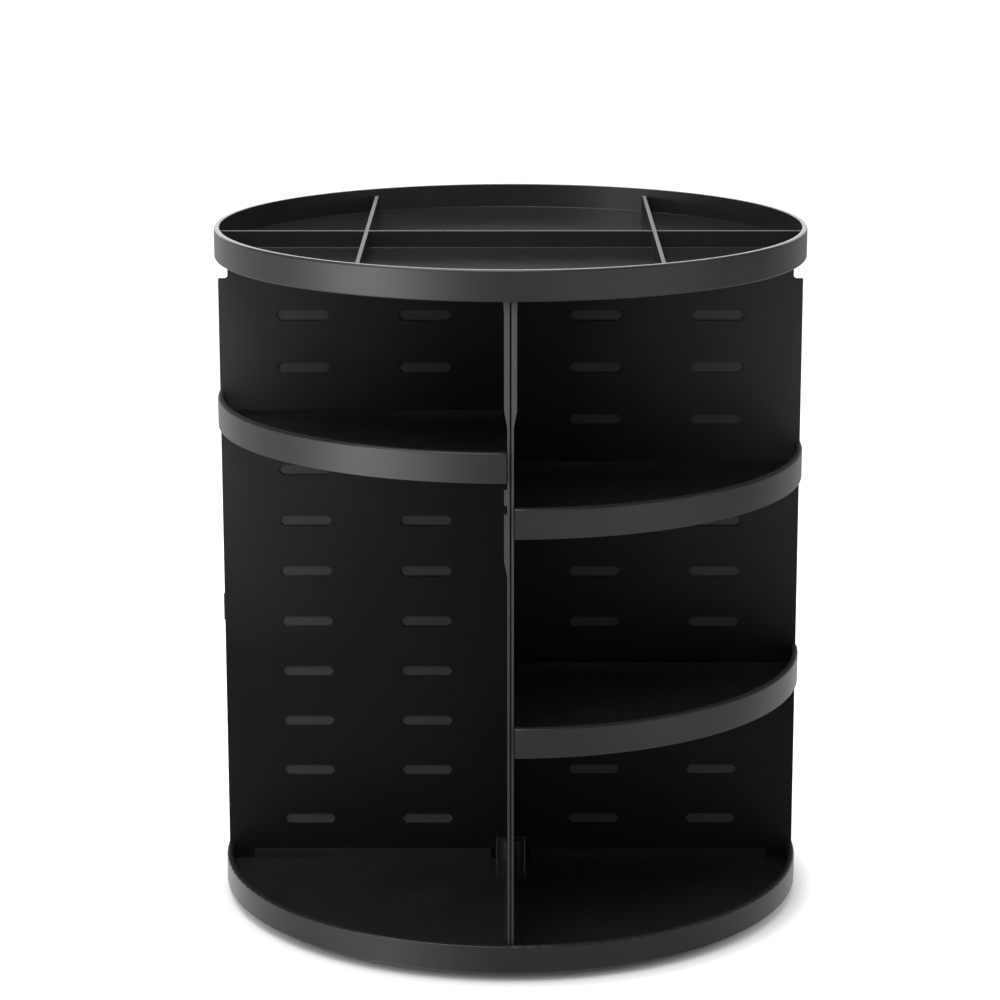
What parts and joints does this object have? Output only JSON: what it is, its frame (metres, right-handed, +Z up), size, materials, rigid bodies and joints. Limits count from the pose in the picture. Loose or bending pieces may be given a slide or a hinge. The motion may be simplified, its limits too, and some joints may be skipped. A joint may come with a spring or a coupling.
{
  "type": "rotating cosmetics organizer",
  "caption": "Round carousel organizer: crossed panels hold quarter-round trays over a turntable base, with a divided round tray on top.",
  "frame": {"origin": "on the table, under the turning axis", "axes": "+Z up along the turning axis, +X along the main panel, front towards -Y"},
  "size_m": [0.23, 0.23, 0.269],
  "materials": {
    "rim_black": "satin black moulded plastic",
    "panel_black": "satin black moulded plastic",
    "foot_black": "matte black moulded plastic",
    "pad_rubber": "soft dark grey rubber",
    "race_plastic": "natural white moulded plastic",
    "steel": "bright steel"
  },
  "bodies": {
    "foot": {"foot_plate": "foot_black", "foot_pads": "pad_rubber"},
    "ball_race": {"ball_cage": "race_plastic", "bearing_balls": "steel"},
    "carousel": {"base_tray": "rim_black", "pivot_screw": "steel", "pivot_washer": "steel", "main_panel": "panel_black", "cross_panel": "panel_black"},
    "top_tray_body": {"top_tray": "rim_black"},
    "front_left_tray_body": {"front_left_tray": "rim_black"},
    "front_right_upper_tray_body": {"front_right_upper_tray": "rim_black"},
    "front_right_lower_tray_body": {"front_right_lower_tray": "rim_black"},
    "back_left_upper_tray_body": {"back_left_upper_tray": "rim_black"},
    "back_left_lower_tray_body": {"back_left_lower_tray": "rim_black"},
    "back_right_tray_body": {"back_right_tray": "rim_black"}
  },
  "joints": [
    {"name": "carousel_spin", "type": "hinge", "parent": "foot", "child": "carousel", "pos_m": [0, 0, 0.0047], "axis": [0, 0, 1], "continuous": true},
    {"name": "ball_race_spin", "type": "hinge", "parent": "foot", "child": "ball_race", "pos_m": [0, 0, 0.0047], "axis": [0, 0, 1], "continuous": true},
    {"name": "top_tray_lift", "type": "slide", "parent": "carousel", "child": "top_tray_body", "axis": [0, 0, 1], "range_m": [0, 0.05]},
    {"name": "front_left_tray_draw", "type": "slide", "parent": "carousel", "child": "front_left_tray_body", "axis": [-0.7071, -0.7071, 0], "range_m": [0, 0.12]},
    {"name": "front_right_upper_tray_draw", "type": "slide", "parent": "carousel", "child": "front_right_upper_tray_body", "axis": [0.7071, -0.7071, 0], "range_m": [0, 0.12]},
    {"name": "front_right_lower_tray_draw", "type": "slide", "parent": "carousel", "child": "front_right_lower_tray_body", "axis": [0.7071, -0.7071, 0], "range_m": [0, 0.12]},
    {"name": "back_left_upper_tray_draw", "type": "slide", "parent": "carousel", "child": "back_left_upper_tray_body", "axis": [-0.7071, 0.7071, 0], "range_m": [0, 0.12]},
    {"name": "back_left_lower_tray_draw", "type": "slide", "parent": "carousel", "child": "back_left_lower_tray_body", "axis": [-0.7071, 0.7071, 0], "range_m": [0, 0.12]},
    {"name": "back_right_tray_draw", "type": "slide", "parent": "carousel", "child": "back_right_tray_body", "axis": [0.7071, 0.7071, 0], "range_m": [0, 0.12]}
  ],
  "couplings": [
    {"joint": "ball_race_spin", "follows": "carousel_spin", "ratio": 0.5}
  ]
}
